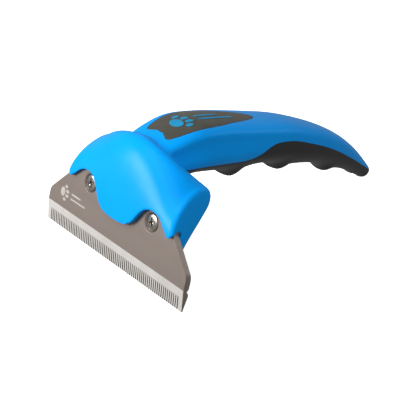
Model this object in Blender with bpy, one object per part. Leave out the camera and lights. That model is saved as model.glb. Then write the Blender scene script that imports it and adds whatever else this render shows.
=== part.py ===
"""A deshedding tool for dogs: a toothed steel blade, held in the wide head of an arched handle.

It stands on a table the way it is put down: on the teeth of the blade and on the tail of the handle.
X runs along the blade, Y from the blade back to the tail, Z up. The shapes are worked out in millimetres
from the middle of the tooth line, and the whole tool is then moved so that the origin is under its middle.
"""

import math

import bmesh
import bpy
from mathutils import Matrix, Vector

MM = 0.001
GAP = 0.3  # clearance between neighbouring pieces

# Blade
BLADE_WIDTH = 88.0
PLATE_THICKNESS = 2.5
PLATE_LEAN = math.radians(13.2)  # the plate leans back from upright
PLATE_TOP = 31.0  # heights on the plate are measured along it, from the teeth
GROUND_BAND = 8.6  # height of the polished band above the teeth
EDGE_SETBACK = 1.5  # the teeth end this far behind the plate's front face
SHOULDER_HALF_WIDTH = 32.5  # half width of the plate where the head covers it
SHOULDER_HEIGHT = 25.0
TOP_CHAMFER = 5.0  # off the plate's hidden upper corners
CORNER_RADIUS = 4.0
TOOTH_PITCH = 1.2
TOOTH_SLOT = 0.5
TOOTH_SLOT_HEIGHT = 5.4
END_LAND = 2.0  # plain edge left at both ends of the tooth row

# Screws that hold the blade: countersunk machine screws into thin nuts
SCREW_X = 19.5
SCREW_HEIGHT = 24.6
SCREW_RADIUS = 1.75
SCREW_HEAD_RADIUS = 3.1
SCREW_SINK = 0.35  # the heads sit this far below the plate's face
COUNTERSINK_RADIUS = 3.9
NUT_ACROSS_FLATS = 6.0
NUT_THICKNESS = 1.8

# Head
HEAD_HALF_WIDTH = 33.8
HEAD_END_ROUNDING = 2.4
REAR_COVER_HALF_WIDTH = 27.5
REAR_COVER_TOP = 33.5
GRIP_START = 25.8  # behind the head
# half of the head's lower front edge, as (x, height on the plate): middle lobe, notch, corner
SCALLOP = [(0, 17.9), (4.6, 18.2), (8.2, 19.3), (10.8, 21.4), (12.7, 24.2), (14.6, 26.8), (17, 28.7),
           (20.3, 29.4), (23.6, 28.9), (26.2, 27.3), (28.6, 25.1), (31.2, 24.1), (33.2, 25.2), (34.8, 27.4)]
# front of the head from the lip to the ridge, as (y, z): in the middle, and at both ends
FRONT_MIDDLE = [(1.3, 14), (2.1, 19), (3.3, 25), (4.9, 31), (6.8, 37), (9.0, 42.4), (11.8, 46.6),
                (15.5, 48.6)]
FRONT_END = [(2.1, 14), (2.8, 19), (3.8, 24), (5.5, 28.4), (8.0, 31.9), (11.3, 34.8), (15.2, 36.9),
             (18.8, 37.9)]
# back of the head from the ridge down to the plate
BACK_MIDDLE = [(20.2, 47.8), (23.6, 44), (24.8, 38), (23.8, 30.2), (18.1, 25.0), (9.6, 18.2)]
BACK_END = [(22.2, 37.7), (24.7, 36.0), (25.2, 33.4), (23.8, 30.2), (18.1, 25.0), (9.6, 18.2)]
RIDGE_FALL = 1.5  # how the ridge drops from the middle to the ends: 1 is straight, 2 a parabola
HEAD_DRAFT = 0.0052  # the head gets narrower upwards and backwards, by this share per millimetre

# Handle stations: y, z of the centre, tilt in degrees, half height, half width
HANDLE = [
    (11.0, 36.4, 8, 4.2, 8.0),
    (13.2, 37.1, 6, 6.6, 11.0),
    (16.5, 37.8, 4, 8.9, 13.0),
    (23.0, 38.8, 0, 10.3, 14.6),
    (34.0, 39.8, -2, 11.1, 15.5),
    (46.3, 38.6, -8, 10.7, 15.2),
    (58.1, 36.9, -12, 9.9, 14.8),
    (70.2, 34.7, -15, 9.3, 14.1),
    (81.7, 32.0, -19, 8.9, 13.2),
    (93.1, 28.1, -25, 8.4, 12.1),
    (103.8, 24.2, -31, 7.5, 10.8),
    (114.0, 19.1, -36, 6.8, 9.2),
    (124.3, 13.1, -42, 5.5, 7.4),
    (132.0, 7.6, -47, 4.4, 5.6),
    (136.3, 3.66, -50, 3.6, 4.4),
]
TOP_POWER = 3.3  # of the handle's section: 2 is an ellipse, higher is squarer
UNDERSIDE_POWER = 2.45
# ridges between the fingers: y of the crest, height, half length
FINGER_RIDGES = [(56.2, 3.5, 4.0), (82.4, 3.1, 4.0), (109.5, 2.2, 3.8), (128.5, 0.7, 3.0)]

# Layers of the handle, measured in from its outer surface
SHELL_WALL = 2.6
GRIP_THICKNESS = 2.0
CARRIER_WALL = 2.3
INLAY_THICKNESS = 0.9
# line on the handle's side where the blue shell ends and the grip starts, as (y, z)
PARTING = [(23.6, 37.2), (34, 36.0), (45, 34.8), (55, 33.9), (62, 34.6), (67, 36.0), (71.5, 36.7),
           (78, 35.9), (85, 34.0), (93, 30.8), (101, 27.3), (110, 22.6), (117, 18.3), (124, 13.8),
           (131, 9.0), (137, 4.9), (143, 0.6)]
# half of the inlay's outline seen from above, as (x, y), from the front edge to the point at the back
INLAY = [(0, 21.6), (3.0, 22.6), (4.8, 22.3), (6.6, 21.8), (8.2, 23.4), (9.3, 27.5), (9.8, 34), (8.9, 45),
         (7.4, 52.6), (5.4, 59), (2.6, 65.5), (0, 68.4)]

# Screws that close the handle from below, under the grip
SHELL_SCREWS = {"front": 36.0, "middle": 67.0, "rear": 96.0}
SHELL_SCREW_RADIUS = 1.2
SHELL_SCREW_HEAD_RADIUS = 2.5
SHELL_SCREW_HEAD_HEIGHT = 1.8
SHELL_SCREW_SINK = 1.5  # the heads sit this far up in the carrier's counterbores
BOSS_RADIUS = 3.7
JOINT_ABOVE_CARRIER = 7.0  # height of the bosses' meeting face above the carrier's underside

HANDLE_RINGS = 34
HANDLE_SIDES = 24


def clear_scene():
    for obj in list(bpy.data.objects):
        bpy.data.objects.remove(obj)


def plastic(name, colour, roughness, metallic=0.0):
    material = bpy.data.materials.new(name)
    material.use_nodes = True
    shader = material.node_tree.nodes["Principled BSDF"]
    shader.inputs["Base Color"].default_value = (*colour, 1)
    shader.inputs["Roughness"].default_value = roughness
    shader.inputs["Metallic"].default_value = metallic
    return material


def make_materials():
    return {
        "blue": plastic("blue_abs", (0.0, 0.33, 0.85), 0.35),
        "grip": plastic("grip_rubber", (0.02, 0.02, 0.025), 0.7),
        "inlay": plastic("inlay_rubber", (0.09, 0.09, 0.08), 0.75),
        "steel": plastic("blade_steel", (0.42, 0.39, 0.37), 0.3, 1.0),
        "zinc": plastic("screw_steel", (0.6, 0.6, 0.58), 0.25, 1.0),
    }


def on_curve(points, t):
    """The point at share t of a smooth curve through the points (Catmull-Rom)."""
    spans = len(points) - 1
    place = min(max(t, 0.0), 1.0) * spans
    i = min(int(place), spans - 1)
    f = place - i
    p1, p2 = Vector(points[i]), Vector(points[i + 1])
    p0 = Vector(points[i - 1]) if i > 0 else p1 * 2 - p2
    p3 = Vector(points[i + 2]) if i + 2 <= spans else p2 * 2 - p1
    return 0.5 * (2 * p1 + (p2 - p0) * f + (2 * p0 - 5 * p1 + 4 * p2 - p3) * f**2
                  + (3 * p1 - p0 - 3 * p2 + p3) * f**3)


def curve(points, count):
    return [on_curve(points, k / (count - 1)) for k in range(count)]


def loft(name, rings):
    """A closed solid through rings of points, in millimetres."""
    mesh = bmesh.new()
    loops = [[mesh.verts.new(Vector(p) * MM) for p in ring] for ring in rings]
    for a, b in zip(loops, loops[1:]):
        for k in range(len(a)):
            j = (k + 1) % len(a)
            mesh.faces.new((a[k], a[j], b[j], b[k]))
    mesh.faces.new(loops[0])
    mesh.faces.new(reversed(loops[-1]))
    bmesh.ops.triangulate(mesh, faces=[f for f in mesh.faces if len(f.verts) > 4])
    bmesh.ops.recalc_face_normals(mesh, faces=mesh.faces)
    data = bpy.data.meshes.new(name)
    mesh.to_mesh(data)
    mesh.free()
    obj = bpy.data.objects.new(name, data)
    bpy.context.scene.collection.objects.link(obj)
    return obj


def side_prism(name, outline, half_width):
    """An outline of (y, z) points, extruded along X to both sides."""
    return loft(name, [[(x, y, z) for y, z in outline] for x in (-half_width, half_width)])


def on_plate(x, height, forward=0.0):
    """A point given on the plate: across, up along it, and out of its front face."""
    lean = PLATE_LEAN
    return Vector((x, height * math.sin(lean) - forward * math.cos(lean),
                   height * math.cos(lean) + forward * math.sin(lean)))


def plate_prism(name, outline, back, front):
    """An outline of (x, height) points on the plate, extruded along the plate's normal."""
    return loft(name, [[on_plate(x, h, depth) for x, h in outline] for depth in (back, front)])


def plate_turned(name, x, height, profile, sides=24):
    """A solid turned about the plate's normal through (x, height), from (radius, forward) points."""
    rings = []
    for radius, forward in profile:
        ring = []
        for k in range(sides):
            a = 2 * math.pi * k / sides
            ring.append(on_plate(x + radius * math.cos(a), height + radius * math.sin(a), forward))
        rings.append(ring)
    return loft(name, rings)


def boolean(obj, other, operation, keep=False):
    modifier = obj.modifiers.new(operation.lower(), "BOOLEAN")
    modifier.object = other
    modifier.operation = operation
    modifier.solver = "EXACT"
    bpy.context.view_layer.objects.active = obj
    with bpy.context.temp_override(object=obj, active_object=obj, selected_objects=[obj]):
        bpy.ops.object.modifier_apply(modifier=modifier.name)
    clean(obj)
    if not keep:
        bpy.data.objects.remove(other)


def clean(obj):
    """Welds the tiny slivers a boolean can leave."""
    mesh = bmesh.new()
    mesh.from_mesh(obj.data)
    bmesh.ops.remove_doubles(mesh, verts=mesh.verts, dist=0.002 * MM)
    bmesh.ops.dissolve_degenerate(mesh, edges=mesh.edges, dist=0.002 * MM)
    open_edges = [e for e in mesh.edges if len(e.link_faces) == 1]
    if open_edges:
        bmesh.ops.holes_fill(mesh, edges=open_edges, sides=4)
    bmesh.ops.triangulate(mesh, faces=[f for f in mesh.faces if len(f.verts) > 4])
    mesh.to_mesh(obj.data)
    mesh.free()


def cut(obj, other, keep=False):
    boolean(obj, other, "DIFFERENCE", keep)


def join(obj, other, keep=False):
    boolean(obj, other, "UNION", keep)


def common(obj, other, keep=False):
    boolean(obj, other, "INTERSECT", keep)


def copy_of(obj, name):
    twin = bpy.data.objects.new(name, obj.data.copy())
    bpy.context.scene.collection.objects.link(twin)
    return twin


def handle_ring(station, inset, ridges):
    y, z, tilt, half_height, half_width = station
    tilt = math.radians(tilt)
    high, wide = half_height - inset, half_width - inset
    underside_y = y + half_height * math.sin(tilt)
    ridge = 0
    if ridges:
        ridge = sum(h * math.exp(-(((underside_y - at) / long) ** 2)) for at, h, long in FINGER_RIDGES)
    ring = []
    for k in range(HANDLE_SIDES):
        a = 2 * math.pi * k / HANDLE_SIDES
        c, s = math.cos(a), math.sin(a)
        power = TOP_POWER if s > 0 else UNDERSIDE_POWER
        x = math.copysign(abs(c) ** (2 / power), c) * wide
        up = math.copysign(abs(s) ** (2 / power), s) * high
        up -= ridge * max(-s, 0) ** 1.6
        ring.append((x, y - up * math.sin(tilt), z + up * math.cos(tilt)))
    return ring


def handle_solid(name, inset=0.0, first=0.0, last=1.0, ridges=False):
    """The handle between two shares of its length, inset from its surface. The tail end is rounded."""
    count = round(HANDLE_RINGS * (last - first) * (1.4 if ridges else 1))
    stations = [on_curve(HANDLE, first + (last - first) * k / (count - 1)) for k in range(count)]
    rings = [handle_ring(s, inset, ridges) for s in stations]
    if last == 1.0:
        rings += tail_rings(stations[-1], inset)
    return loft(name, rings)


def tail_rings(station, inset):
    y, z, tilt, half_height, half_width = station
    a = math.radians(tilt)
    rings = []
    for degrees in (25, 48, 66, 80):
        turn = math.radians(degrees)
        out = (half_height - inset) * math.sin(turn)
        high, wide = (half_height - inset) * math.cos(turn), (half_width - inset) * math.cos(turn)
        shrunk = Vector((y + out * math.cos(a), z + out * math.sin(a), tilt, high, wide))
        rings.append(handle_ring(shrunk, 0.0, False))
    return rings


def head_profile(share):
    """The head's outline in a plane of constant x. share is 0 in the middle and 1 at the ends."""
    blend = share**RIDGE_FALL
    front = [Vector(m).lerp(Vector(e), blend) for m, e in zip(FRONT_MIDDLE, FRONT_END)]
    back = [Vector(m).lerp(Vector(e), blend) for m, e in zip(BACK_MIDDLE, BACK_END)]
    over = curve([*front, *back[:4]], 21)
    return [*over, *back[4:], Vector((6.0, 14.2))]


def head_solid(name, wall=0.0):
    """The head, lofted along the blade, its end edges rounded. A wall sets it in from the outer surface."""
    straight = HEAD_HALF_WIDTH - HEAD_END_ROUNDING
    half = [(straight * k / 6, 0.0) for k in range(7)]
    for degrees in (35, 75):
        turn = math.radians(degrees)
        out, setback = math.sin(turn), 1 - math.cos(turn)
        half.append((straight + HEAD_END_ROUNDING * out, HEAD_END_ROUNDING * setback))
    stations = [(-x, inset) for x, inset in reversed(half[1:])] + half
    rings = []
    for x, inset in stations:
        profile = head_profile(min(abs(x) / straight, 1.0))
        middle = Vector((14.0, 30.0))
        ring = []
        for p in profile:
            away = p - middle
            y, z = middle + away * (1 - (inset + wall) / max(away.length, 8.0))
            narrowing = 1 - HEAD_DRAFT * (z + y / 2 - 26.8) - wall / HEAD_HALF_WIDTH
            ring.append((x * narrowing, y, z))
        rings.append(ring)
    return loft(name, rings)


def head_cavity():
    """Hollow of the head above the plate, open below to the rear cover."""
    cavity = head_solid("head_cavity", SHELL_WALL)
    top = on_plate(0, REAR_COVER_TOP + 1.9).z
    common(cavity, side_prism("above_plate", [(-5, top), (40, top), (40, 70), (-5, 70)], 28.0))
    return cavity


def lower_region(name, slack, start_y, half_width):
    """Everything below the parting line: behind the plate in the head, and the handle's underside."""
    parting = [p for p in curve(PARTING, 40) if p.y > -5]
    behind = PLATE_THICKNESS + GAP - slack
    foot, top = on_plate(0, 10, -behind), on_plate(0, REAR_COVER_TOP + slack, -behind)
    outline = [(foot.y, foot.z), (top.y, top.z)] if start_y is None else [(start_y, -15.0)]
    if start_y is not None:
        outline.append((start_y, on_curve(PARTING, 0).y + slack))
    for p in parting:
        if start_y is None or p.x > start_y + 0.5:
            outline.append((p.x, p.y + slack))
    outline += [(146.0, parting[-1].y + slack), (146.0, -15.0)]
    if start_y is None:
        outline.append((foot.y, -15.0))
    return side_prism(name, outline, half_width)


def plate_outline(grow=0.0):
    half = BLADE_WIDTH / 2
    slope_run = half - SHOULDER_HALF_WIDTH
    corner = SHOULDER_HEIGHT - slope_run
    arc = []
    reach = CORNER_RADIUS * math.tan(math.radians(22.5))
    centre = (half - CORNER_RADIUS, corner - reach)
    for k in range(6):
        a = math.radians(45 * k / 5)
        arc.append((centre[0] + CORNER_RADIUS * math.cos(a), centre[1] + CORNER_RADIUS * math.sin(a)))
    right = [(half, -1.0), *arc, (SHOULDER_HALF_WIDTH, SHOULDER_HEIGHT),
             (SHOULDER_HALF_WIDTH, PLATE_TOP - TOP_CHAMFER), (SHOULDER_HALF_WIDTH - TOP_CHAMFER, PLATE_TOP)]
    grown = [(x + grow, h + grow) for x, h in right]
    return grown + [(-x, h) for x, h in reversed(grown)]


def make_blade():
    half = BLADE_WIDTH / 2
    t = PLATE_THICKNESS
    above = PLATE_TOP + 2
    profile = [(0, above), (0, GROUND_BAND), (EDGE_SETBACK, 0), (EDGE_SETBACK + 0.45, 0), (t + 0.4, 5.8),
               (t + 0.35, 6.8), (t - 0.6, 7.8), (t, 8.9), (t, above)]
    ends = (-half - 2, half + 2)
    blade = loft("deshedding_blade", [[on_plate(x, h, -depth) for depth, h in profile] for x in ends])
    common(blade, plate_prism("outline", plate_outline(), -t - 2, 2))
    slots = round((BLADE_WIDTH - 2 * END_LAND) / TOOTH_PITCH)
    fade = EDGE_SETBACK * (1 - TOOTH_SLOT_HEIGHT / GROUND_BAND)  # where a slot runs out on the ground band
    steep = (TOOTH_SLOT_HEIGHT - 0.6) / (t + 0.9 - fade)
    wedge = [(-1.0, -1.0), (-1.0, TOOTH_SLOT_HEIGHT + steep * (1 + fade)), (t + 0.9, 0.6), (t + 0.9, -1.0)]
    for k in range(slots):
        x = (k - (slots - 1) / 2) * TOOTH_PITCH
        sides = (x - TOOTH_SLOT / 2, x + TOOTH_SLOT / 2)
        cut(blade, loft("slot", [[on_plate(s, h, -depth) for depth, h in wedge] for s in sides]))
    for x in (-SCREW_X, SCREW_X):
        bore, rim = SCREW_RADIUS + GAP, COUNTERSINK_RADIUS
        hole = [(bore, -t - 1), (bore, bore - rim), (rim, 0), (rim + 1, 1)]
        cut(blade, plate_turned("hole", x, SCREW_HEIGHT, hole))
    return blade


def make_screw(name, x):
    """A countersunk machine screw with a slightly raised top and a cross recess."""
    top, r = -SCREW_SINK, SCREW_HEAD_RADIUS
    end = -(PLATE_THICKNESS + GAP * 2 + NUT_THICKNESS)
    profile = [(SCREW_RADIUS * 0.6, end), (SCREW_RADIUS, end + 0.7),
               (SCREW_RADIUS, top - 0.2 + SCREW_RADIUS - r), (r, top - 0.2), (r, top), (r * 0.6, top + 0.3)]
    screw = plate_turned(name, x, SCREW_HEIGHT, profile)
    arm, half_slot, floor = 1.7, 0.45, top - 1.1
    for along, across in ((arm, half_slot), (half_slot, arm)):
        box = [(x - along, SCREW_HEIGHT - across), (x + along, SCREW_HEIGHT - across),
               (x + along, SCREW_HEIGHT + across), (x - along, SCREW_HEIGHT + across)]
        cut(screw, plate_prism("recess", box, floor, 2))
    return screw


def hexagon(x, across_flats):
    corner = across_flats / 2 / math.cos(math.radians(30))
    turns = [math.radians(60 * k) for k in range(6)]
    return [(x + corner * math.cos(turn), SCREW_HEIGHT + corner * math.sin(turn)) for turn in turns]


def make_nut(name, x):
    front = -(PLATE_THICKNESS + GAP * 2)
    nut = plate_prism(name, hexagon(x, NUT_ACROSS_FLATS), front - NUT_THICKNESS, front)
    cut(nut, plate_turned("hole", x, SCREW_HEIGHT, [(SCREW_RADIUS + GAP, -9), (SCREW_RADIUS + GAP, 0)]))
    return nut


def grown(outline, distance):
    """A closed, anticlockwise outline moved outwards."""
    moved = []
    for k, point in enumerate(outline):
        before = (Vector(point) - Vector(outline[k - 1])).normalized()
        after = (Vector(outline[(k + 1) % len(outline)]) - Vector(point)).normalized()
        across = Vector((before.y, -before.x)) + Vector((after.y, -after.x))
        moved.append(Vector(point) + across * (2 * distance / across.length_squared))
    return moved


def inlay_prism(name, grow):
    half = curve(INLAY, 24)
    outline = [(p.x, p.y) for p in half] + [(-p.x, p.y) for p in reversed(half[1:-1])]
    return loft(name, [[(x, y, z) for x, y in grown(outline, grow)] for z in (38.0, 70.0)])


def upright(name, y, radius, low, high, sides=20):
    ring = [(radius * math.cos(2 * math.pi * k / sides), y + radius * math.sin(2 * math.pi * k / sides))
            for k in range(sides)]
    return loft(name, [[(px, py, z) for px, py in ring] for z in (low, high)])


def handle_at(y):
    """The handle's station nearest to y."""
    return min((on_curve(HANDLE, k / 400) for k in range(401)), key=lambda s: abs(s[0] - y))


def carrier_underside(y):
    station = handle_at(y)
    return station[1] - (station[3] - GRIP_THICKNESS - GAP) / math.cos(math.radians(station[2]))


def make_upper_shell():
    """Front, top and ends of the head, and the upper half of the handle, moulded in one piece."""
    shell = head_solid("upper_shell")
    join(shell, handle_solid("handle"))
    cut(shell, lower_region("pocket", GAP, None, REAR_COVER_HALF_WIDTH + GAP))
    cut(shell, head_cavity())
    cut(shell, handle_solid("cavity", SHELL_WALL, 0.14, 0.93))
    for y in SHELL_SCREWS.values():
        face = carrier_underside(y) + JOINT_ABOVE_CARRIER
        boss = upright("boss", y, BOSS_RADIUS, face + GAP, 70)
        common(boss, handle_solid("inside", SHELL_WALL / 2))
        join(shell, boss)
        cut(shell, upright("pilot", y, SHELL_SCREW_RADIUS + GAP, face - 1, face + 6))
    side, top = SHOULDER_HALF_WIDTH + GAP, PLATE_TOP + GAP
    right = [(45, 5), (45, PLATE_TOP - TOP_CHAMFER + GAP), (side, PLATE_TOP - TOP_CHAMFER + GAP),
             (side - TOP_CHAMFER, top)]
    slot = right + [(-x, h) for x, h in reversed(right)]
    cut(shell, plate_prism("slot", slot, -(PLATE_THICKNESS + GAP), GAP))
    edge = curve(SCALLOP, 44)
    outline = [(-p.x, p.y) for p in reversed(edge[1:])] + [(p.x, p.y) for p in edge]
    outline += [(50, edge[-1].y), (50, 0), (-50, 0), (-50, edge[-1].y)]
    cut(shell, plate_prism("scallop", outline, -0.02, 14))
    recess = inlay_prism("recess", GAP)
    cut(recess, handle_solid("floor", INLAY_THICKNESS + GAP))
    cut(shell, recess)
    return shell


def make_lower_shell():
    """Rear cover of the head and the grip's carrier, which closes the handle from below."""
    shell = head_solid("lower_shell")
    join(shell, handle_solid("carrier", GRIP_THICKNESS + GAP, 0.12, 0.94))
    cut(shell, handle_solid("cavity", GRIP_THICKNESS + GAP + CARRIER_WALL, 0.21, 0.9))
    for y in SHELL_SCREWS.values():
        under = carrier_underside(y)
        boss = upright("boss", y, BOSS_RADIUS, under - 5, under + JOINT_ABOVE_CARRIER)
        common(boss, handle_solid("inside", GRIP_THICKNESS + GAP * 2))
        join(shell, boss)
        cut(shell, upright("through", y, SHELL_SCREW_RADIUS + GAP, under - 8, under + 20))
        cut(shell, upright("counterbore", y, SHELL_SCREW_HEAD_RADIUS + GAP, under - 8,
                           under + SHELL_SCREW_SINK + SHELL_SCREW_HEAD_HEIGHT + GAP))
    common(shell, lower_region("region", 0.0, None, REAR_COVER_HALF_WIDTH))
    for x in (-SCREW_X, SCREW_X):
        deep = -(PLATE_THICKNESS + GAP * 3 + NUT_THICKNESS)
        cut(shell, plate_prism("nut_pocket", hexagon(x, NUT_ACROSS_FLATS + 2 * GAP), deep, 0))
    return shell


def make_grip():
    """Soft cover under the handle, with ridges between the fingers."""
    grip = handle_solid("finger_grip", ridges=True)
    cut(grip, handle_solid("core", GRIP_THICKNESS, 0.1, 0.955))
    common(grip, lower_region("region", 0.0, GRIP_START, 40))
    return grip


def make_inlay():
    inlay = inlay_prism("thumb_inlay", 0.0)
    common(inlay, handle_solid("skin"))
    cut(inlay, handle_solid("floor", INLAY_THICKNESS))
    return inlay


def make_shell_screw(name, y):
    """A self-tapping screw, driven upwards into the upper shell's boss."""
    under = carrier_underside(y)
    foot = under + SHELL_SCREW_SINK
    seat = foot + SHELL_SCREW_HEAD_HEIGHT
    screw = upright(name, y, SHELL_SCREW_RADIUS, seat - 0.5, under + JOINT_ABOVE_CARRIER + 5)
    join(screw, upright("head", y, SHELL_SCREW_HEAD_RADIUS, foot, seat))
    for half_x, half_y in ((1.4, 0.4), (0.4, 1.4)):
        box = [(-half_x, y - half_y), (half_x, y - half_y), (half_x, y + half_y), (-half_x, y + half_y)]
        cut(screw, loft("recess", [[(px, py, z) for px, py in box] for z in (foot - 1, foot + 1)]))
    return screw


def finish(objects, materials):
    """Gives each piece its material and shading, and centres the tool over the origin."""
    tool = bpy.data.objects.new("tool", None)
    bpy.context.scene.collection.objects.link(tool)
    lows, highs = [], []
    for obj, slot in objects:
        obj.data.materials.clear()
        obj.data.materials.append(materials[slot])
        obj.data.shade_smooth()
        obj.data.set_sharp_from_angle(angle=math.radians(32))
        ys = [v.co.y for v in obj.data.vertices]
        lows.append(min(ys))
        highs.append(max(ys))
        obj.parent = tool
    floor = min(v.co.z for obj, _ in objects for v in obj.data.vertices)
    tool.matrix_world = Matrix.Translation((0, -(min(lows) + max(highs)) / 2, -floor))


def main():
    clear_scene()
    materials = make_materials()
    pieces = [
        (make_upper_shell(), "blue"),
        (make_lower_shell(), "blue"),
        (make_grip(), "grip"),
        (make_inlay(), "inlay"),
        (make_blade(), "steel"),
    ]
    for side, x in (("left", -SCREW_X), ("right", SCREW_X)):
        pieces.append((make_screw(f"blade_screw_{side}", x), "zinc"))
        pieces.append((make_nut(f"blade_nut_{side}", x), "zinc"))
    for place, y in SHELL_SCREWS.items():
        pieces.append((make_shell_screw(f"shell_screw_{place}", y), "zinc"))
    finish(pieces, materials)


main()
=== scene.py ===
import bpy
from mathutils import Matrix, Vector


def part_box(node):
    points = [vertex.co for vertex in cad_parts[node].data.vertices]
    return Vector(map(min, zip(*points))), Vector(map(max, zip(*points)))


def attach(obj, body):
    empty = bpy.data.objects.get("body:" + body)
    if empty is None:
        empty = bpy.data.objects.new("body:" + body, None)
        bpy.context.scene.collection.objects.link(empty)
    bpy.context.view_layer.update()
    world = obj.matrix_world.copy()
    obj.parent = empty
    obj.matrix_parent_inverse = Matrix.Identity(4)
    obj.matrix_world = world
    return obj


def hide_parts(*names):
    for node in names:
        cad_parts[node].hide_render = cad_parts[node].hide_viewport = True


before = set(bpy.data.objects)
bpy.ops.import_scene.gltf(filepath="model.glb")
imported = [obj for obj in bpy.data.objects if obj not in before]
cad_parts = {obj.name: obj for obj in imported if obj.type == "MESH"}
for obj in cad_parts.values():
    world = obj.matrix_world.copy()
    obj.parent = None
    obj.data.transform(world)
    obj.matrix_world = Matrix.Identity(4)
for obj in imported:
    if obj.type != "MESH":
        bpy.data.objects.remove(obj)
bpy.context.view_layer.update()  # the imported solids, in metres: +X along the blade, +Y to the tail, +Z up

import math

import bpy
from mathutils import Matrix, Vector

print("deshedding tool: frame loaded,", len(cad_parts), "solids")

mm = 0.001
plateLean = math.radians(13.2)  # the blade leans back from upright
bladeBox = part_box("deshedding_blade")
# the middle of the tooth line, which all the millimetre sizes below are measured from
toothLine = Vector((0, bladeBox[0].y - 1.46 * mm, 0.445 * mm))


def place(x, y, z):
    return Vector((x, y, z)) * mm + toothLine


def onPlate(x, height, forward=0.0):
    # across, up along the plate from the teeth, and out of its front face
    return place(x, height * math.sin(plateLean) - forward * math.cos(plateLean),
                 height * math.cos(plateLean) + forward * math.sin(plateLean))


def alongCurve(points, share):
    # the point at a share of a smooth curve through the points
    spans = len(points) - 1
    where = min(max(share, 0.0), 1.0) * spans
    i = min(int(where), spans - 1)
    f = where - i
    b, c = Vector(points[i]), Vector(points[i + 1])
    a = Vector(points[i - 1]) if i else b * 2 - c
    d = Vector(points[i + 2]) if i + 2 <= spans else c * 2 - b
    return 0.5 * (2 * b + (c - a) * f + (2 * a - 5 * b + 4 * c - d) * f**2 + (3 * b - a - 3 * c + d) * f**3)


def smoothLine(points, count):
    return [alongCurve(points, k / (count - 1)) for k in range(count)]


# ---- modelling helpers

def pickOnly(*objs):
    if bpy.context.object and bpy.context.object.mode != "OBJECT":
        bpy.ops.object.mode_set(mode="OBJECT")
    bpy.ops.object.select_all(action="DESELECT")
    for obj in objs:
        obj.select_set(True)
    bpy.context.view_layer.objects.active = objs[0]


def named(name):
    obj = bpy.context.object
    obj.name = name
    obj.data.name = name
    return obj


def settle(obj):
    # its place goes into its mesh
    pickOnly(obj)
    bpy.ops.object.transform_apply(location=True, rotation=True, scale=True)
    return obj


def modify(obj, kind, **settings):
    pickOnly(obj)
    modifier = obj.modifiers.new(kind.title(), kind)
    for name, value in settings.items():
        setattr(modifier, name, value)
    bpy.ops.object.modifier_apply(modifier=modifier.name)
    return obj


def combine(obj, tool, operation):
    modify(obj, "BOOLEAN", object=tool, operation=operation, solver="EXACT")
    bpy.data.objects.remove(tool)
    return obj


def twin(obj, name):
    pickOnly(obj)
    bpy.ops.object.duplicate()
    return named(name)


def tidyMesh(obj):
    pickOnly(obj)
    bpy.ops.object.mode_set(mode="EDIT")
    bpy.ops.mesh.select_all(action="SELECT")
    bpy.ops.mesh.remove_doubles(threshold=0.000002)
    bpy.ops.mesh.normals_make_consistent(inside=False)
    bpy.ops.object.mode_set(mode="OBJECT")
    return obj


def outlineRing(name, points, fill="NOTHING"):
    # a ring laid over an outline
    bpy.ops.object.select_all(action="DESELECT")
    bpy.ops.mesh.primitive_circle_add(vertices=len(points), radius=mm, fill_type=fill)
    ring = named(name)
    for vertex, point in zip(ring.data.vertices, points):
        vertex.co = point
    return ring


def slab(name, points, push):
    # a filled outline, extruded
    obj = outlineRing(name, points, "NGON")
    bpy.ops.object.mode_set(mode="EDIT")
    bpy.ops.mesh.select_all(action="SELECT")
    bpy.ops.mesh.extrude_region_move(TRANSFORM_OT_translate={"value": push})
    bpy.ops.mesh.select_all(action="SELECT")
    bpy.ops.mesh.normals_make_consistent(inside=False)
    bpy.ops.object.mode_set(mode="OBJECT")
    return obj


def plateSlab(name, outline, back, front):
    return slab(name, [onPlate(x, h, back) for x, h in outline], onPlate(0, 0, front) - onPlate(0, 0, back))


def skinOver(name, rings):
    # joins open rings and bridges them into one closed skin
    pickOnly(*rings)
    bpy.ops.object.join()
    skin = named(name)
    bpy.ops.object.transform_apply(location=True, rotation=True, scale=True)
    bpy.ops.object.mode_set(mode="EDIT")
    bpy.ops.mesh.select_all(action="SELECT")
    bpy.ops.mesh.bridge_edge_loops()
    bpy.ops.mesh.select_all(action="DESELECT")
    bpy.ops.mesh.select_non_manifold()
    bpy.ops.mesh.edge_face_add()
    bpy.ops.mesh.select_all(action="SELECT")
    bpy.ops.mesh.normals_make_consistent(inside=False)
    bpy.ops.object.mode_set(mode="OBJECT")
    return skin


def smoothShade(obj, degrees=35):
    pickOnly(obj)
    bpy.ops.object.shade_smooth_by_angle(angle=math.radians(degrees))


# ---- materials

def hexColour(code):
    parts = [int(code[i:i + 2], 16) / 255 for i in (1, 3, 5)]
    return (*[p / 12.92 if p <= 0.04045 else ((p + 0.055) / 1.055) ** 2.4 for p in parts], 1.0)


def addNode(tree, kind, values=None, links=None, **settings):
    node = tree.nodes.new("ShaderNode" + kind)
    for name, value in settings.items():
        setattr(node, name, value)
    for name, value in (values or {}).items():
        node.inputs[name].default_value = value
    for name, output in (links or {}).items():
        tree.links.new(output, node.inputs[name])
    return node


def newMaterial(name):
    material = bpy.data.materials.new(name)
    material.use_nodes = True
    tree = material.node_tree
    tree.nodes.clear()
    shader = addNode(tree, "BsdfPrincipled")
    addNode(tree, "OutputMaterial", links={"Surface": shader.outputs["BSDF"]})
    return material, tree, shader


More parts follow.
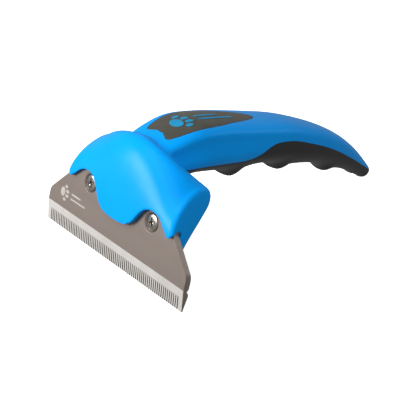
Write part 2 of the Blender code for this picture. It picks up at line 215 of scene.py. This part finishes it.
def grained(name, darkHex, lightHex, patchSize, grainSize, grainDepth, roughness, roughnessSpread=0.05,
            metallic=0.0, stretch=(1, 1, 1), specular=0.5, sheen=0.0, tint=None):
    # soft patches of two near colours, and a fine grain in the bump and the gloss; sizes in mm
    material, tree, shader = newMaterial(name)
    coords = addNode(tree, "TexCoord")
    if tint:
        shader.inputs["Specular Tint"].default_value = hexColour(tint)
    mapping = addNode(tree, "Mapping", {"Scale": stretch}, {"Vector": coords.outputs["Object"]})
    spot = mapping.outputs["Vector"]
    patches = addNode(tree, "TexNoise", {"Scale": 1 / (patchSize * mm), "Detail": 3.0}, {"Vector": spot})
    grain = addNode(tree, "TexNoise", {"Scale": 1 / (grainSize * mm), "Detail": 2.0}, {"Vector": spot})
    colours = addNode(tree, "ValToRGB", links={"Fac": patches.outputs["Fac"]})
    colours.color_ramp.elements[0].position = 0.35
    colours.color_ramp.elements[0].color = hexColour(darkHex)
    colours.color_ramp.elements[1].position = 0.65
    colours.color_ramp.elements[1].color = hexColour(lightHex)
    limits = {"To Min": roughness - roughnessSpread, "To Max": roughness + roughnessSpread}
    gloss = addNode(tree, "MapRange", limits, {"Value": grain.outputs["Fac"]})
    bump = addNode(tree, "Bump", {"Strength": 1.0, "Distance": grainDepth * mm},
                   {"Height": grain.outputs["Fac"]})
    tree.links.new(colours.outputs["Color"], shader.inputs["Base Color"])
    tree.links.new(gloss.outputs["Result"], shader.inputs["Roughness"])
    tree.links.new(bump.outputs["Normal"], shader.inputs["Normal"])
    shader.inputs["Metallic"].default_value = metallic
    shader.inputs["Specular IOR Level"].default_value = specular
    if sheen:
        shader.inputs["Sheen Weight"].default_value = sheen
        shader.inputs["Sheen Roughness"].default_value = 0.5
    return material


def fadeUpwards(material, low, high, topHex):
    # turns to another colour between two heights above the teeth, in mm; on the slots it paints their shade,
    # dark low down and bright steel near the top where they run out shallow
    tree = material.node_tree
    shader = tree.nodes["Principled BSDF"]
    plain = shader.inputs["Base Color"].links[0].from_socket
    coords = addNode(tree, "TexCoord")
    height = addNode(tree, "SeparateXYZ", links={"Vector": coords.outputs["Object"]})
    share = addNode(tree, "MapRange", {"From Min": place(0, 0, low).z, "From Max": place(0, 0, high).z},
                    {"Value": height.outputs["Z"]})
    mix = addNode(tree, "Mix", data_type="RGBA")
    mix.inputs[7].default_value = hexColour(topHex)
    tree.links.new(share.outputs["Result"], mix.inputs[0])
    tree.links.new(plain, mix.inputs[6])
    tree.links.new(mix.outputs[2], shader.inputs["Base Color"])


# ABS, moulded in a spark-eroded tool: satin, with a broad soft highlight and a barely visible grain
satinAbs = grained("satin_abs_blue", "#0094ea", "#0099f2", 18, 0.6, 0.012, 0.3, specular=0.14, tint="#d2ecff")
# TPE moulded over the handle: near black and matte, with a faint bloom at grazing angles
softTouchTpe = grained("soft_touch_tpe_black", "#121216", "#19181b", 9, 0.45, 0.012, 0.5, sheen=0.06)
# the thumb inlay's TPE: warm dark grey, flatter than the grip
inlayTpe = grained("inlay_tpe_grey", "#3b3a31", "#434137", 7, 0.4, 0.012, 0.62, sheen=0.1)
# the same TPE in blue, for the raised mark on the inlay
inlayBlue = grained("inlay_tpe_blue", "#0f86b4", "#1590c0", 5, 0.4, 0.01, 0.5)
# stainless strip, ground along its length: dull warm grey, with lines about 0.3 mm apart
groundSteel = grained("ground_stainless_steel", "#8f837c", "#968a82", 14, 0.3, 0.003, 0.38, 0.06, 0.65,
                      (0.06, 1, 1))
# the edge band, ground again with a finer wheel: much brighter
fineGroundSteel = grained("fine_ground_edge_steel", "#dcd6d0", "#e6e2dd", 10, 0.3, 0.002, 0.45, 0.05, 0.5,
                          (1, 0.2, 0.2))
# slots between the teeth: cut and left rough; their dark colour is painted shade, standing in for the shade
# deep in the narrow slots
slotShadeSteel = grained("slot_steel_painted_shade", "#3f3a37", "#4a4441", 3, 0.3, 0.004, 0.55, 0.05, 1.0)
# painted shade: the slots stay dark up to 2.4 mm and brighten to bare steel by 5.6 mm, as if their deep parts
# were in shade
fadeUpwards(slotShadeSteel, 2.4, 5.6, "#d8d3cd")
# nickel-plated screw steel: bright, with small hard highlights
platedSteel = grained("nickel_plated_steel", "#b0aaa3", "#c0bab3", 2, 0.4, 0.002, 0.27, 0.05, 1.0)
# laser-annealed mark: a pale oxide skin on the steel
laserMark = grained("laser_marked_steel", "#b9b4af", "#c3beb9", 4, 0.3, 0.002, 0.6, 0.04, 0.6)
print("materials ready")


def finishPiece(obj, material, slotName, *nodes, smooth=35):
    tidyMesh(obj)
    smoothShade(obj, smooth)
    if material is not None:
        obj.data.materials.clear()
        obj.data.materials.append(material)
    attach(obj, "root")
    if nodes:
        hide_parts(*nodes)
    return obj


# ---- camera and studio

studio = {
    "azimuth": 49.92, "elevation": 26.81, "roll": 2.95, "distance": 521.9, "aim": (-21.11, 62.28, 0.0),
    "lens": 111.6,
}


def setCamera():
    bpy.ops.object.camera_add()
    camera = bpy.context.object
    camera.name = "studioCamera"
    turn = (Matrix.Rotation(math.radians(studio["azimuth"]), 4, "Z")
            @ Matrix.Rotation(math.radians(90 - studio["elevation"]), 4, "X")
            @ Matrix.Rotation(math.radians(studio["roll"]), 4, "Z"))
    back = turn.to_3x3() @ Vector((0, 0, 1))
    camera.matrix_world = Matrix.Translation(place(*studio["aim"]) + back * studio["distance"] * mm) @ turn
    camera.data.sensor_width = 36
    camera.data.lens = studio["lens"]
    camera.data.clip_start = 0.01
    camera.data.dof.use_dof = False
    bpy.context.scene.camera = camera


def softbox(name, spot, size, power):
    # an area light that faces the tool; spot in mm from the tooth line
    bpy.ops.object.light_add(type="AREA", location=place(*spot))
    lamp = bpy.context.object
    lamp.name = name
    lamp.data.shape = "RECTANGLE"
    lamp.data.size, lamp.data.size_y = size[0] * mm, size[1] * mm
    lamp.data.energy = power
    aim = place(0, 40, 25) - lamp.location
    lamp.rotation_euler = aim.to_track_quat("-Z", "Y").to_euler()
    return lamp


def setStudio():
    scene = bpy.context.scene
    world = bpy.data.worlds.new("paleStudio")
    scene.world = world
    world.use_nodes = True
    world.node_tree.nodes["Background"].inputs["Color"].default_value = (1, 1, 1, 1)
    world.node_tree.nodes["Background"].inputs["Strength"].default_value = 0.29
    bpy.ops.mesh.primitive_plane_add(size=6, location=(0, 0, -0.0002))
    floor = named("floor")
    material, tree, shader = newMaterial("white_sweep_paper")  # seamless paper: matte, lit to white
    shader.inputs["Base Color"].default_value = hexColour("#f4f4f4")
    shader.inputs["Roughness"].default_value = 0.9
    shader.inputs["Emission Color"].default_value = (1, 1, 1, 1)
    shader.inputs["Emission Strength"].default_value = 0.8
    floor.data.materials.append(material)
    floor.visible_diffuse = floor.visible_glossy = False  # the tent around the tool lights it, not the sweep
    bpy.ops.mesh.primitive_uv_sphere_add(segments=48, ring_count=24, radius=2.9, location=(0, 0, 0))
    tent = named("backdropTent")
    tentMaterial, tree, shader = newMaterial("white_tent_cloth")  # the light tent's cloth, lit from outside
    shader.inputs["Base Color"].default_value = hexColour("#f4f4f4")
    shader.inputs["Roughness"].default_value = 0.9
    shader.inputs["Emission Color"].default_value = (1, 1, 1, 1)
    shader.inputs["Emission Strength"].default_value = 0.9
    tent.data.materials.append(tentMaterial)
    tent.visible_diffuse = tent.visible_glossy = tent.visible_shadow = False
    softbox("keySoftbox", (-410, -640, 260), (400, 300), 3.35).visible_glossy = False
    softbox("glintSoftbox", (-240, -370, 150), (200, 130), 1.3)
    softbox("fillSoftbox", (520, -60, 420), (400, 400), 0.8).visible_glossy = False
    softbox("topSoftbox", (-60, -230, 430), (300, 300), 1.25).visible_glossy = False
    softbox("rimSoftbox", (260, 720, 420), (500, 300), 0.5)
    scene.view_settings.view_transform = "Standard"


setCamera()
setStudio()
print("camera and studio set")

# ---- head and handle, as one smooth body that the mouldings are cut from

head = {
    "halfWidth": 33.8, "endRounding": 2.4, "draft": 0.0052, "ridgeFall": 2.0, "backFall": 1.2,
    # (y, z) down the front and the back, in the middle and at both ends
    "frontMiddle": [(1.3, 14), (2.1, 19), (3.3, 25), (4.9, 31), (6.8, 37), (9.0, 42.4), (11.8, 46.6),
                    (15.5, 48.6)],
    "frontEnd": [(2.1, 14), (2.8, 19), (3.8, 24), (5.6, 28.5), (8.4, 32.1), (11.9, 35.0), (15.6, 37.0),
                 (19.0, 38.0)],
    "backMiddle": [(18.8, 46.8), (20.6, 42.5), (21.2, 37), (21.6, 30.4), (18.1, 25.0), (9.6, 18.2)],
    "backEnd": [(22.2, 37.7), (24.7, 36.0), (25.2, 33.4), (23.8, 30.2), (18.1, 25.0), (9.6, 18.2)],
}

handle = {
    # y, z of the middle, tilt, half height, half width
    "stations": [
        (11.0, 36.4, 8, 4.2, 8.0), (13.2, 37.1, 6, 6.0, 11.0), (16.5, 37.8, 4, 8.2, 13.0),
        (23.0, 38.8, 0, 9.7, 14.6),
        (34.0, 39.8, -2, 10.9, 15.5), (46.3, 38.6, -8, 10.7, 15.2), (58.1, 36.9, -12, 9.9, 14.8),
        (70.2, 34.7, -15, 9.3, 14.1), (81.7, 32.0, -19, 9.2, 13.2), (93.1, 28.1, -25, 9.0, 12.1),
        (103.8, 24.2, -31, 8.2, 10.8), (114.0, 19.1, -36, 7.3, 9.2), (124.1, 12.9, -42, 5.6, 7.2),
        (131.7, 7.3, -47, 4.0, 5.3), (136.2, 3.5, -50, 3.3, 4.1),
    ],
    # half of the section, top to underside: beside the head, at the first fingers, at the tail
    "sections": [
        (0.27, [(0, 1.0), (0.32, 0.985), (0.6, 0.94), (0.78, 0.85), (0.845, 0.72), (0.85, 0.52), (0.9, 0.25),
                (0.96, 0.0), (0.95, -0.22), (0.84, -0.43), (0.62, -0.62), (0.34, -0.745), (0, -0.79)]),
        (0.4, [(0, 1.0), (0.32, 0.985), (0.6, 0.93), (0.78, 0.82), (0.855, 0.68), (0.88, 0.48), (0.94, 0.2),
                (0.985, -0.05), (0.97, -0.3), (0.86, -0.56), (0.64, -0.78), (0.35, -0.94), (0, -1.0)]),
        (0.85, [(0, 1.0), (0.33, 0.965), (0.61, 0.87), (0.81, 0.71), (0.93, 0.5), (0.985, 0.25), (1.0, 0.0),
                (0.97, -0.25), (0.87, -0.5), (0.71, -0.71), (0.5, -0.87), (0.26, -0.965), (0, -1.0)]),
    ],
    "rings": 44,
    # crest y, height, half length
    "ridges": [(54.2, 3.9, 4.0), (81.2, 3.4, 4.0), (110.3, 2.6, 3.8), (128.5, 0.7, 3.0)],
}


def headRing(x, inset, share):
    blend, backBlend = share ** head["ridgeFall"], share ** head["backFall"]
    front = [Vector(a).lerp(Vector(b), blend) for a, b in zip(head["frontMiddle"], head["frontEnd"])]
    back = [Vector(a).lerp(Vector(b), backBlend) for a, b in zip(head["backMiddle"], head["backEnd"])]
    over = smoothLine(front + back[:4], 40)
    middle = Vector((14.0, 30.0))
    points = []
    for p in over + back[4:] + [Vector((6.0, 14.2))]:
        away = p - middle
        y, z = middle + away * (1 - inset / max(away.length, 8.0))
        points.append(place(x * (1 - head["draft"] * (z + y / 2 - 26.8)), y, z))
    return outlineRing("headRing", points)


def makeHead():
    straight = head["halfWidth"] - head["endRounding"]
    half = [(straight * k / 12, 0.0) for k in range(13)]
    for degrees in (20, 40, 60, 80):
        turn = math.radians(degrees)
        half.append((straight + head["endRounding"] * math.sin(turn),
                     head["endRounding"] * (1 - math.cos(turn))))
    stations = [(-x, inset) for x, inset in reversed(half[1:])] + half
    return skinOver("headBody", [headRing(x, inset, min(abs(x) / straight, 1)) for x, inset in stations])


def sectionRing(share):
    # half size 1: a shallow crown, a crease with a channel under it, full sides and a round underside
    steps = handle["sections"]
    (at, near), (end, far) = (steps[0], steps[1]) if share < steps[1][0] else (steps[1], steps[2])
    blend = min(max((share - at) / (end - at), 0.0), 1.0)
    line = smoothLine([Vector(a).lerp(Vector(b), blend) for a, b in zip(near, far)], 29)
    return [(p.x, p.y) for p in line] + [(-p.x, p.y) for p in reversed(line[1:-1])]


def ridgeDrop(y):
    # the ridges between the fingers: narrow crests on wide hollow flanks
    total = 0
    for at, high, long in handle["ridges"]:
        away = abs(y - at) / long
        total += high * (0.6 * math.exp(-(away / 0.5) ** 2) + 0.4 * math.exp(-(away / 1.5) ** 2))
    return total


def makeHandle(name, ridged=False):
    count = handle["rings"] * (4 if ridged else 1)
    stations = smoothLine(handle["stations"], count)
    y, z, tilt, high, wide = stations[-1]
    for degrees in (18, 36, 52, 66, 78):  # the tail's rounded tip
        turn, lean = math.radians(degrees), math.radians(tilt)
        out = high * math.sin(turn)
        stations.append(Vector((y + out * math.cos(lean), z + out * math.sin(lean), tilt,
                                high * math.cos(turn), wide * math.cos(turn))))
    rings = []
    for k, (y, z, tilt, high, wide) in enumerate(stations):
        lean = math.radians(tilt)
        drop = ridgeDrop(y + high * math.sin(lean)) if ridged else 0
        points = []
        for a, b in sectionRing(k / count):
            under = min(max((-b - 0.5) / 0.43, 0.0), 1.0)  # ridges stand only on the underside
            up = high * b - drop * under * under * (3 - 2 * under)
            points.append(place(wide * a, y - up * math.sin(lean), z + up * math.cos(lean)))
        rings.append(outlineRing("section", points))
    return skinOver(name, rings)


headAndHandle = makeHead()
modify(headAndHandle, "SUBSURF", levels=1, render_levels=1)
handleBody = makeHandle("handleBody")
modify(handleBody, "SUBSURF", levels=1, render_levels=1)
combine(headAndHandle, handleBody, "UNION")
print("head and handle joined:", len(headAndHandle.data.polygons), "faces")

mouldings = {
    # half of the lower front edge, as (x, height on the plate): middle lobe, notch for the screw, corner
    "scallop": [(0, 17.9), (4.6, 18.2), (8.2, 19.3), (10.8, 21.4), (12.7, 24.2), (14.6, 26.8), (17, 28.7),
                (20.3, 29.4), (23.6, 28.9), (26.2, 27.5), (28.6, 25.3), (30.5, 23.8), (31.7, 23.6),
                (33.0, 24.9), (34.8, 27.4)],
    # where the blue shell ends and the soft grip starts, as (y, z)
    "parting": [(23.6, 37.8), (34, 36.7), (45, 35.2), (55, 33.9), (62, 34.6), (67, 36.0), (71.5, 36.7),
                (78, 35.9), (85, 34.0), (93, 30.8), (101, 27.3), (110, 22.6), (117, 18.3), (124, 13.8),
                (131, 9.0), (137, 4.9), (143, 0.6)],
    # half of the thumb inlay from above, as (x, y), from its front edge to the point at the back
    "inlay": [(0, 23.3), (1.6, 23.5), (3.0, 22.9), (4.4, 22.2), (5.8, 21.9), (6.9, 22.8), (7.8, 25.2),
              (8.7, 29), (9.3, 34.5), (9.2, 41), (8.6, 46.5), (7.3, 52), (6.0, 57.5), (4.6, 62.5),
              (3.0, 66.6), (1.4, 68.3), (0, 68.8)],
    "seam": 0.06, "plateTop": 31.0, "plateHalfWidth": 32.5, "topChamfer": 5.0,
    "coverHalfWidth": 27.5, "coverTop": 33.5, "coverReach": 35.6, "gripStart": 25.8,
    "voxel": 0.5, "inlayVoxel": 0.35,
    # the plate's pocket, out of its front face, and the clearance round it
    "pocketBack": -2.8, "pocketFront": 0.15, "pocketGap": 0.3,
    # undersides of the recess and of the pad in it
    "recessLow": 42.6, "recessGap": 0.12, "inlayLow": 42.9, "markLow": 43.5,
}


def cutForBlade(shell):
    # the lip's scalloped edge, and the slot that the plate goes into
    edge = smoothLine(mouldings["scallop"], 70)
    outline = [(-p.x, p.y) for p in reversed(edge[1:])] + [(p.x, p.y) for p in edge]
    outline += [(50, edge[-1].y), (50, 0), (-50, 0), (-50, edge[-1].y)]
    combine(shell, plateSlab("lipCut", outline, -0.1, 14), "DIFFERENCE")
    chamfer, gap = mouldings["topChamfer"], mouldings["pocketGap"]
    side, top = mouldings["plateHalfWidth"] + gap, mouldings["plateTop"]
    right = [(45, 5), (45, top - chamfer + gap), (side, top - chamfer + gap), (side - chamfer, top + gap)]
    outline = right + [(-x, h) for x, h in reversed(right)]
    pocket = plateSlab("platePocket", outline, mouldings["pocketBack"], mouldings["pocketFront"])
    combine(shell, pocket, "DIFFERENCE")


def soften(obj, voxel, passes):
    # rebuilds the skin evenly and rounds its edges, as a polished mould does
    pickOnly(obj)
    obj.data.remesh_voxel_size = voxel * mm
    obj.data.remesh_voxel_adaptivity = 0
    bpy.ops.object.voxel_remesh()
    modify(obj, "SMOOTH", factor=0.5, iterations=passes)


def lowerSide(name, slack, startY, halfWidth):
    # everything under the parting line; without a start it also takes in the back of the head
    line = smoothLine(mouldings["parting"], 60)
    outline = []
    if startY is None:
        for height in (10, mouldings["coverTop"] + slack):
            p = (onPlate(0, height, mouldings["pocketBack"] + slack) - toothLine) / mm
            outline.append((p.y, p.z))
    else:
        outline += [(startY, -15), (startY, line[0].y + slack)]
    outline += [(p.x, p.y + slack) for p in line if startY is None or p.x > startY + 0.5]
    outline += [(146, line[-1].y + slack), (146, -15)]
    if startY is None:
        outline.append((outline[0][0], -15))
    return slab(name, [place(-halfWidth, y, z) for y, z in outline], Vector((2 * halfWidth * mm, 0, 0)))


def inlayBlock(name, grow, low):
    half = smoothLine(mouldings["inlay"], 40)
    outline = [Vector((p.x, p.y)) for p in half] + [Vector((-p.x, p.y)) for p in reversed(half[1:-1])]
    moved = []
    for k, point in enumerate(outline):
        before = (point - outline[k - 1]).normalized()
        after = (outline[(k + 1) % len(outline)] - point).normalized()
        across = Vector((before.y + after.y, -before.x - after.x))
        moved.append(point + across * (2 * grow / max(across.length_squared, 1.0)))
    return slab(name, [place(p.x, p.y, low) for p in moved], Vector((0, 0, (70 - low) * mm)))


cutForBlade(headAndHandle)
soften(headAndHandle, mouldings["voxel"], 6)
print("body softened:", len(headAndHandle.data.polygons), "faces")

seam = mouldings["seam"]
rearCover = twin(headAndHandle, "head_rear_cover")
thumbInlay = twin(headAndHandle, "thumb_inlay_pad")
upperShell = headAndHandle
upperShell.name = "blue_upper_shell"
cover = lowerSide("lower", seam, None, mouldings["coverHalfWidth"] + seam)
combine(upperShell, cover, "DIFFERENCE")
combine(upperShell, lowerSide("lowerHandle", seam, mouldings["gripStart"] - 0.3, 40), "DIFFERENCE")
recess = inlayBlock("inlayRecess", mouldings["recessGap"], mouldings["recessLow"])
combine(upperShell, recess, "DIFFERENCE")
print("upper shell cut")

combine(rearCover, lowerSide("rear", 0.0, None, mouldings["coverHalfWidth"]), "INTERSECT")
# the cover ends just ahead of the grip
front = [place(x, -10, z) for x, z in ((-40, 0), (40, 0), (40, 60), (-40, 60))]
combine(rearCover, slab("ahead", front, Vector((0, mouldings["coverReach"] * mm, 0))), "INTERSECT")

mark = {
    # a plain paw and two strokes: centre along and across, half length and half width
    "paw": [(0, 0, 1.6, 2.1), (1.9, -2.95, 1.05, 0.7), (3.3, -1.05, 1.2, 0.75), (3.3, 1.05, 1.2, 0.75),
            (1.9, 2.95, 1.05, 0.7)],
    "strokes": [(11.8, -1.1, 5.5, 0.38), (9.9, 1.1, 3.6, 0.38)],
    "inlayStart": 31.0, "inlayScale": 1.5, "inlayRise": 0.16,
    "bladeStart": -35.5, "bladeHeight": 14.8, "bladeScale": 0.9, "bladeRise": 0.02, "bladeSink": 0.05,
}


def markOutlines(scale):
    # closed outlines of all the pads and strokes, as (along, across)
    outlines = []
    for along, across, long, wide in mark["paw"] + mark["strokes"]:
        square = 1.0 if wide > 0.5 else 0.35  # the strokes have blunt ends
        turns = [2 * math.pi * k / 28 for k in range(28)]
        outlines.append([((along + long * math.copysign(abs(math.cos(t)) ** square, math.cos(t))) * scale,
                          (across + wide * math.copysign(abs(math.sin(t)) ** square, math.sin(t))) * scale)
                         for t in turns])
    return outlines


def joined(name, parts):
    pickOnly(*parts)
    bpy.ops.object.join()
    return named(name)


inlayMark = twin(thumbInlay, "inlay_paw_mark")
upwards = Vector((0, 0, 20 * mm))
stamps = []
for outline in markOutlines(mark["inlayScale"]):
    base = [place(-across, mark["inlayStart"] + along, mouldings["markLow"]) for along, across in outline]
    stamps.append(slab("pad", base, upwards))
combine(inlayMark, joined("stamp", stamps), "INTERSECT")
inlayMark.location.z += mark["inlayRise"] * mm
settle(inlayMark)
finishPiece(inlayMark, inlayBlue, "blue_abs")
print("inlay mark:", len(inlayMark.data.polygons), "faces")

combine(thumbInlay, inlayBlock("inlayPad", 0.0, mouldings["inlayLow"]), "INTERSECT")
soften(thumbInlay, mouldings["inlayVoxel"], 4)
print("inlay cut")

fingerGrip = makeHandle("finger_grip_cover", ridged=True)
modify(fingerGrip, "SUBSURF", levels=1, render_levels=1)
combine(fingerGrip, lowerSide("gripSide", 0.0, mouldings["gripStart"], 40), "INTERSECT")
print("grip cut")

finishPiece(upperShell, satinAbs, "blue_abs", "upper_shell")
finishPiece(rearCover, satinAbs, "blue_abs", "lower_shell")
finishPiece(fingerGrip, softTouchTpe, "grip_rubber", "finger_grip")
finishPiece(thumbInlay, inlayTpe, "inlay_rubber", "thumb_inlay")
print("mouldings finished")

# ---- blade

blade = {
    "width": 88.0, "thickness": 2.5, "groundBand": 8.6, "edgeSetback": 1.5,
    "shoulderHeight": 25.0, "cornerRadius": 4.0,
    "toothPitch": 1.2, "slotWidth": 0.5, "slotHeight": 5.4, "endLand": 2.0, "edgeRounding": 0.14,
    "screwX": 19.5, "screwHeight": 24.6, "countersink": 3.95, "bore": 2.05,
}


def bladeOutline():
    half, run = blade["width"] / 2, blade["width"] / 2 - mouldings["plateHalfWidth"]
    corner, r = blade["shoulderHeight"] - run, blade["cornerRadius"]
    middle = (half - r, corner - r * math.tan(math.radians(22.5)))
    right = [(half, -1)]
    for k in range(9):
        a = math.radians(45 * k / 8)
        right.append((middle[0] + r * math.cos(a), middle[1] + r * math.sin(a)))
    top, chamfer, side = mouldings["plateTop"], mouldings["topChamfer"], mouldings["plateHalfWidth"]
    right += [(side, blade["shoulderHeight"]), (side, top - chamfer), (side - chamfer, top)]
    return right + [(-x, h) for x, h in reversed(right)]


def makeBlade():
    t, half = blade["thickness"], blade["width"] / 2 + 2
    band, back = blade["groundBand"], blade["edgeSetback"]
    # (depth, height): front face, ground band, back of the teeth, the rib, back face
    section = [(0, 36), (0, band), (back, 0), (back + 0.45, 0), (t + 0.4, 5.8), (t + 0.35, 6.8),
               (t - 0.6, 7.8), (t, 8.9), (t, 36)]
    profile = [onPlate(-half, h, -d) for d, h in section]
    plate = slab("deshedding_blade_strip", profile, Vector((2 * half * mm, 0, 0)))
    combine(plate, plateSlab("bladeOutline", bladeOutline(), -t - 2, 2), "INTERSECT")
    for x in (-blade["screwX"], blade["screwX"]):
        for radiusLow, radiusHigh, low, high in ((blade["bore"], blade["bore"], -6, 1),
                                                 (blade["countersink"] - 2, blade["countersink"] + 1, -2, 1)):
            bpy.ops.object.select_all(action="DESELECT")
            bpy.ops.mesh.primitive_cone_add(vertices=64, radius1=radiusLow * mm, radius2=radiusHigh * mm,
                                            depth=(high - low) * mm, rotation=(math.pi / 2 - plateLean, 0, 0),
                                            location=onPlate(x, blade["screwHeight"], (low + high) / 2))
            combine(plate, settle(named("screwHole")), "DIFFERENCE")
    modify(plate, "BEVEL", width=blade["edgeRounding"] * mm, segments=2, limit_method="ANGLE",
           angle_limit=math.radians(30), use_clamp_overlap=True)
    return plate


def cutTeeth(plate):
    # a slot is a thin wedge that runs out on the ground band
    t, band = blade["thickness"], blade["groundBand"]
    fade = blade["edgeSetback"] * (1 - blade["slotHeight"] / band)
    steep = (blade["slotHeight"] - 0.6) / (t + 0.9 - fade)
    wedge = [(-1, -1), (-1, blade["slotHeight"] + steep * (1 + fade)), (t + 0.9, 0.6), (t + 0.9, -1)]
    count = round((blade["width"] - 2 * blade["endLand"]) / blade["toothPitch"])
    first = -(count - 1) / 2 * blade["toothPitch"]
    width = blade["slotWidth"]
    slot = slab("slot", [onPlate(first - width / 2, h, -d) for d, h in wedge], Vector((width * mm, 0, 0)))
    # the cut faces take the slot steel, whose dark colour is painted shade
    slot.data.materials.append(slotShadeSteel)
    slots = [slot]
    for k in range(1, count):
        copy = slot.copy()
        copy.data = slot.data.copy()
        copy.location.x = k * blade["toothPitch"] * mm
        bpy.context.scene.collection.objects.link(copy)
        slots.append(copy)
    pickOnly(*slots)
    bpy.ops.object.join()
    cutter = settle(named("slots"))
    modify(plate, "BOOLEAN", object=cutter, operation="DIFFERENCE", solver="EXACT", material_mode="TRANSFER")
    bpy.data.objects.remove(cutter)


plate = makeBlade()
plate.data.materials.append(groundSteel)
cutTeeth(plate)
plate.data.materials.append(fineGroundSteel)
bandNormal = (onPlate(0, -blade["edgeSetback"], blade["groundBand"]) - onPlate(0, 0, 0)).normalized()
for face in plate.data.polygons:
    if face.normal.dot(bandNormal) > 0.999 and face.material_index == 0:
        face.material_index = len(plate.data.materials) - 1
finishPiece(plate, None, "blade_steel", "deshedding_blade", smooth=9)
pads = []
for outline in markOutlines(mark["bladeScale"]):
    spots = [(mark["bladeStart"] + along, mark["bladeHeight"] + across) for along, across in outline]
    pads.append(plateSlab("pad", spots, -mark["bladeSink"], mark["bladeRise"]))
bladeMark = joined("blade_paw_mark", pads)
finishPiece(bladeMark, laserMark, "blade_steel")
print("blade finished:", len(plate.data.polygons), "faces")

# ---- screws

screw = {
    "headRadius": 3.1, "sink": 0.35, "shankRadius": 1.75, "length": 4.9, "coneLength": 1.8,
    "recessArm": 1.75, "recessWidth": 0.85, "recessDepth": 1.1,
}


def makeScrew(name, x):
    height, top, r = blade["screwHeight"], -screw["sink"], screw["headRadius"]
    upright = (math.pi / 2 - plateLean, 0, 0)
    bpy.ops.object.select_all(action="DESELECT")
    bpy.ops.mesh.primitive_cylinder_add(vertices=48, radius=r * mm, depth=0.25 * mm, rotation=upright,
                                        location=onPlate(x, height, top - 0.125))
    obj = settle(named(name))
    out = (onPlate(0, 0, 1) - onPlate(0, 0, 0)).normalized()
    cone = r - screw["shankRadius"]  # a 90 degree countersink
    domeSteps = ((0.45, 0.14), (0.8, 0.14), (0.9, 0.07))
    shankSteps = ((cone, cone), (0, screw["length"] - screw["coneLength"]))
    for sign, steps in ((1, domeSteps), (-1, shankSteps)):
        for inset, push in steps:
            pickOnly(obj)
            for face in obj.data.polygons:
                face.select = False
            ends = [f for f in obj.data.polygons if f.normal.dot(out) * sign > 0.99]
            cap = max(ends, key=lambda f: sign * f.center.dot(out))
            cap.select = True
            bpy.ops.object.mode_set(mode="EDIT")
            bpy.ops.mesh.select_mode(type="FACE")
            if inset:
                bpy.ops.mesh.inset(thickness=inset * mm, depth=0)
                bpy.ops.transform.translate(value=out * sign * push * mm)
            else:
                bpy.ops.mesh.extrude_region_move(TRANSFORM_OT_translate={"value": out * sign * push * mm})
            bpy.ops.object.mode_set(mode="OBJECT")
    arm, wide, deep = screw["recessArm"], screw["recessWidth"] / 2, top - screw["recessDepth"]
    for angle in (20, 110):  # the slots stand as the screwdriver left them
        c, s = math.cos(math.radians(angle)), math.sin(math.radians(angle))
        corners = [(arm, wide), (-arm, wide), (-arm, -wide), (arm, -wide)]
        outline = [(x + a * c - b * s, height + a * s + b * c) for a, b in corners]
        combine(obj, plateSlab("crossSlot", outline, deep, 2), "DIFFERENCE")
    modify(obj, "BEVEL", width=0.06 * mm, segments=2, limit_method="ANGLE", angle_limit=math.radians(35))
    return obj


for side, x in (("left", -blade["screwX"]), ("right", blade["screwX"])):
    finishPiece(makeScrew(f"blade_screw_{side}_crosshead", x), platedSteel, "screw_steel",
                f"blade_screw_{side}")
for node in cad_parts:
    if "nut" in node or "shell_screw" in node:
        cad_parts[node].data.materials.clear()
        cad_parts[node].data.materials.append(platedSteel)
print("screws finished")
